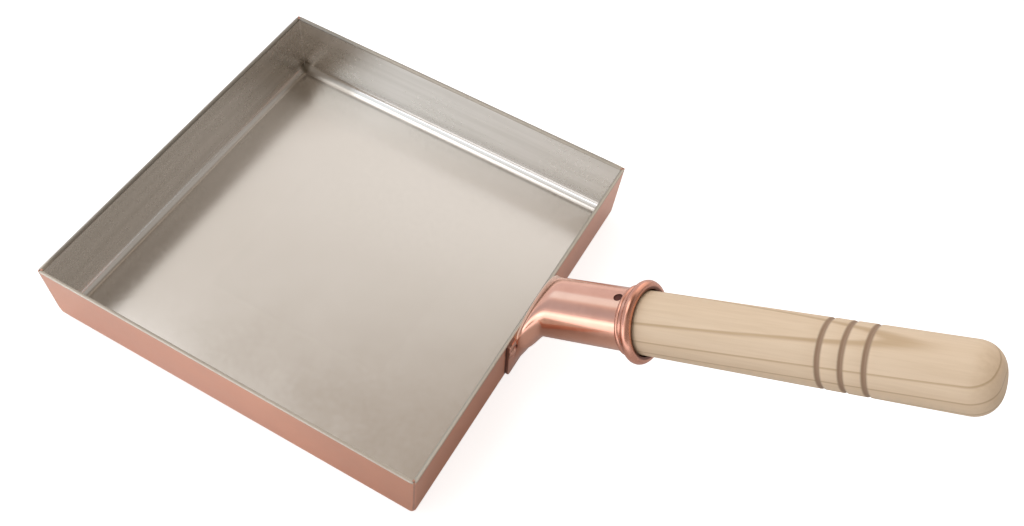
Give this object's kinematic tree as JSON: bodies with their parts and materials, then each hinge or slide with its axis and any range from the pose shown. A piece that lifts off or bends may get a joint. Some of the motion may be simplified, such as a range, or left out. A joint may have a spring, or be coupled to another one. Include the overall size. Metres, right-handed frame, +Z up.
{
  "type": "square omelette pan",
  "caption": "Shallow square copper frying pan, tinned inside, with a riveted gooseneck socket holding a turned wooden handle.",
  "frame": {"origin": "centre of the flat base of the pan, on the surface it stands on", "axes": "+Z up out of the pan, +X from the pan along the handle, +Y to the right of a cook holding the handle"},
  "size_m": [0.3418, 0.18, 0.131],
  "materials": {
    "copper_sheet": "satin, lightly oxidised copper",
    "tin": "wiped tin, satin",
    "braze": "dull copper braze",
    "copper_socket": "polished copper",
    "copper_rivet": "hammered copper",
    "wood": "bare turned softwood",
    "nail": "dark iron"
  },
  "bodies": {
    "root": {"pan_body": "copper_sheet", "tin_lining": "tin", "corner_seam_handle_left": "braze", "corner_seam_handle_right": "braze", "corner_seam_far_left": "braze", "corner_seam_far_right": "braze", "handle_socket": "copper_socket", "rivet_left": "copper_rivet", "rivet_right": "copper_rivet", "handle": "wood", "handle_nail": "nail"}
  },
  "joints": []
}
